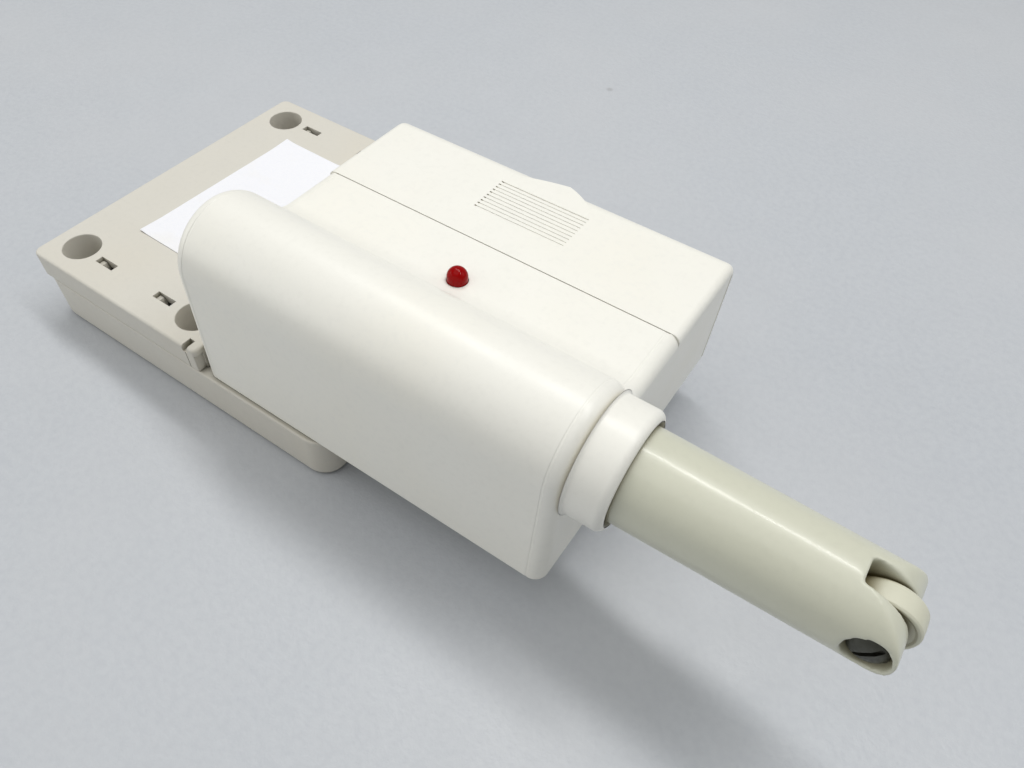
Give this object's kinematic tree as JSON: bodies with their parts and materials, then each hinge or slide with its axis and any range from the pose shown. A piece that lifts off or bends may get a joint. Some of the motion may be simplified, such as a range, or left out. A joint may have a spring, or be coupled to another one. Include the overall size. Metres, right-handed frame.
{
  "type": "door_contact_sensor",
  "caption": "Cream plastic door contact sensor: a flat wall base, a raised housing with a ribbed battery cover and a red lamp, and a sprung round plunger with a forked roller tip",
  "frame": {"origin": "centre of the base's back face, the face that lies on the wall", "axes": "+X along the plunger towards its roller, +Y towards the battery cover, +Z away from the wall"},
  "size_m": [0.1408, 0.0608, 0.037],
  "materials": {
    "base_plastic": "fine matte moulded surface",
    "housing_plastic": "satin moulded surface",
    "tube_plastic": "glossy moulded surface",
    "roller_plastic": "satin",
    "paper": "uncoated paper",
    "lamp_lens": "glossy tinted epoxy",
    "steel": "drawn wire and turned steel",
    "dark_steel": "blackened steel",
    "screw_zinc": "zinc plate",
    "circuit_board": "solder mask",
    "black_plastic": "matte moulding compound",
    "tinned_metal": "tin plate",
    "copper_wire": "enamelled copper",
    "reed_glass": "clear tube",
    "magnet": "sintered ferrite",
    "cell_wrap": "heat-shrunk sleeve",
    "red_insulation": "flexible insulation",
    "black_insulation": "flexible insulation"
  },
  "bodies": {
    "base": {"base_tray": "base_plastic", "base_cover": "base_plastic", "housing": "housing_plastic", "housing_floor": "housing_plastic", "collar_bush": "housing_plastic", "paper_label": "paper", "led_lamp": "lamp_lens", "spring_rod": "steel", "return_spring": "steel", "negative_contact": "steel", "negative_spring": "steel", "positive_contact": "steel", "tamper_spring": "steel", "floor_screw_1": "screw_zinc", "floor_screw_2": "screw_zinc", "floor_screw_3": "screw_zinc", "floor_screw_4": "screw_zinc", "base_screw_1": "screw_zinc", "base_screw_2": "screw_zinc", "sensor_board_screw_1": "screw_zinc", "sensor_board_screw_2": "screw_zinc", "radio_board_screw_1": "screw_zinc", "radio_board_screw_2": "screw_zinc", "sensor_board": "circuit_board", "radio_board": "circuit_board", "sensor_chip": "black_plastic", "tamper_switch": "black_plastic", "led_lead_anode": "tinned_metal", "led_lead_cathode": "tinned_metal", "capacitor": "tinned_metal", "reed_lead_left": "tinned_metal", "reed_lead_right": "tinned_metal", "radio_can": "tinned_metal", "antenna_coil": "copper_wire", "link_ribbon": "copper_wire", "reed_capsule": "reed_glass", "battery_cell": "cell_wrap", "battery_wire_positive": "red_insulation", "battery_wire_negative": "black_insulation"},
    "plunger": {"plunger_tube": "tube_plastic", "stop_ring": "steel", "ring_magnet": "magnet", "roller_pin": "dark_steel"},
    "roller": {"tip_roller": "roller_plastic"},
    "battery_door": {"battery_cover": "housing_plastic"},
    "tamper": {"tamper_button": "black_plastic"}
  },
  "joints": [
    {"name": "plunger_slide", "type": "slide", "parent": "base", "child": "plunger", "axis": [1, 0, 0], "range_m": [-0.024, 0], "stiffness_N_per_m": 80, "springref_m": 0.01, "deforming": ["return_spring"]},
    {"name": "roller_spin", "type": "hinge", "parent": "plunger", "child": "roller", "pos_m": [0.1041, -0.0203, 0.0283], "axis": [0, 1, 0], "continuous": true},
    {"name": "cover_slide", "type": "slide", "parent": "base", "child": "battery_door", "axis": [0, 1, 0], "range_m": [0, 0.014]},
    {"name": "tamper_press", "type": "slide", "parent": "base", "child": "tamper", "axis": [0, 0, 1], "range_m": [0, 0.0008], "stiffness_N_per_m": 200, "springref_m": -0.0008, "deforming": ["tamper_spring"]}
  ]
}
